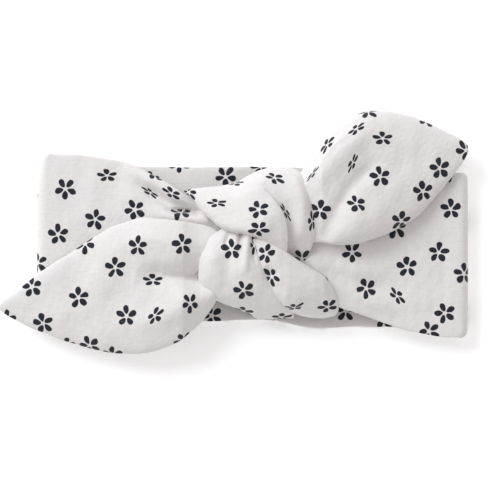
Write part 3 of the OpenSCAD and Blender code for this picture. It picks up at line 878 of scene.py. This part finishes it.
def tail_wrap():
    cloth = lobe(TAIL_WRAP, 130, 90, 2.6, TAIL_WRAP_FOLDS, 1.6, seed=23)
    cloth.print_flowers((TAIL_WRAP_PRINT, 1, 0, 130))
    piece = cloth.piece("tail_wrap_cloth")
    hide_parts("tail_wrap_outer", "tail_wrap_lining")
    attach(piece, "knot")


def left_ear(below):
    cloth = lay_on(lobe(LEFT_EAR, 180, 120, 2.5, LEFT_EAR_FOLDS, seed=24), top_of(below))
    cloth.print_flowers((LEFT_EAR_PRINT, 1, 0, 180), (toss(-112, -20, -48, 8, 6), -1, 0, 180))
    piece = cloth.piece("left_ear_cloth")
    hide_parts("left_ear_outer", "left_ear_lining", "left_ear_allowance", "left_ear_thread",
                "left_ear_root_outer", "left_ear_root_lining")
    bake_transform(piece)


def right_ear(below):
    cloth = lay_on(lobe(RIGHT_EAR, 180, 130, 2.6, RIGHT_EAR_FOLDS, seed=25), top_of(below))
    cloth.print_flowers((RIGHT_EAR_PRINT, 1, 0, 180), (toss(24, 96, 4, 58, 7), -1, 0, 180))
    piece = cloth.piece("right_ear_cloth")
    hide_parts("right_ear_outer", "right_ear_lining", "right_ear_allowance", "right_ear_thread",
                "right_ear_root_outer", "right_ear_root_lining")
    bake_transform(piece)


def stitches():
    """Hand stitches that close the turning gap at the lower edge of the back."""
    material = thread_material()
    low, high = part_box("closing_stitches")
    count, stitch = 9, 1.7
    curve = bpy.data.curves.new("closing_stitches_thread", "CURVE")
    curve.dimensions = "3D"
    curve.bevel_depth = 0.16 * MM
    curve.bevel_resolution = 3
    curve.use_fill_caps = True
    for middle in np.linspace(low.x / MM + stitch / 2, high.x / MM - stitch / 2, count):
        edge = float(at(middle, BACK_LOW_EDGE))
        spline = curve.splines.new("POLY")
        spline.points.add(6)
        for i, p in enumerate(spline.points):
            t = i / 6
            out = math.sin(math.pi * t)
            p.co = (*point(middle + stitch * (t - 0.5), edge - 0.28 * out + 0.15, HALF_T - 0.5 + 1.0 * t), 1)
    obj = bpy.data.objects.new("closing_stitches_thread", curve)
    bpy.context.collection.objects.link(obj)
    obj.data.materials.append(material)
    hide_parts("closing_stitches")
    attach(obj, "back_centre")


# ---- Studio ----

def floor():
    mesh = bpy.data.meshes.new("studio_floor")
    size = 4.0
    corners = [(-size, -size, 0), (size, -size, 0), (size, size, 0), (-size, size, 0)]
    mesh.from_pydata(corners, [], [(0, 1, 2, 3)])
    obj = bpy.data.objects.new("studio_floor", mesh)
    bpy.context.collection.objects.link(obj)
    obj.location.z = -0.0003
    material = bpy.data.materials.new("studio_white")
    material.use_nodes = True
    n = Nodes(material)
    shader = n.nodes["Principled BSDF"]
    place = n.add("ShaderNodeTexCoord").outputs["Object"]
    tone = n.mix(n.noise(place, 3.0), (0.97, 0.97, 0.97, 1), (0.985, 0.985, 0.985, 1))
    n.put(shader.inputs["Base Color"], tone)
    shader.inputs["Roughness"].default_value = 0.9
    shader.inputs["Specular IOR Level"].default_value = 0.1
    shader.inputs["Emission Color"].default_value = (1, 1, 1, 1)
    shader.inputs["Emission Strength"].default_value = 0.26
    mesh.materials.append(material)


def area_light(name, place, size, power, colour):
    light = bpy.data.lights.new(name, "AREA")
    light.shape = "DISK"
    light.size = size
    light.energy = power
    light.color = colour
    obj = bpy.data.objects.new(name, light)
    bpy.context.collection.objects.link(obj)
    obj.location = place
    obj.rotation_mode = "QUATERNION"
    obj.rotation_quaternion = (-Vector(place)).to_track_quat("-Z", "Y")


def studio():
    scene = bpy.context.scene
    world = bpy.data.worlds.new("studio_world")
    scene.world = world
    world.use_nodes = True
    background = world.node_tree.nodes["Background"]
    background.inputs[0].default_value = (1.0, 0.98, 0.975, 1)
    background.inputs[1].default_value = 0.64
    area_light("window", (-1.4, 1.3, 1.4), 1.5, 36, (0.93, 0.975, 1.0))
    scene.view_settings.view_transform = "Standard"
    scene.view_settings.look = "None"
    scene.view_settings.exposure = 0.0
    scene.view_settings.gamma = 1.0


def camera():
    """Straight down from 2 m, framed as 232.6 mm across."""
    data = bpy.data.cameras.new("camera")
    distance = 2.0
    data.sensor_width = 36
    data.lens = 36 * distance / 0.2326
    obj = bpy.data.objects.new("camera", data)
    bpy.context.collection.objects.link(obj)
    obj.location = (-1.16 * MM, -1.86 * MM, distance)
    obj.rotation_euler = (0, 0, 0)
    data.clip_end = 20
    bpy.context.scene.camera = obj


left_half = left_band()
right_half = right_band()
middle_back()
knot_core()
over_wrap()
lower_wrap()
tail_wrap()
left_ear(left_half)
right_ear(right_half)
stitches()
floor()
studio()
camera()
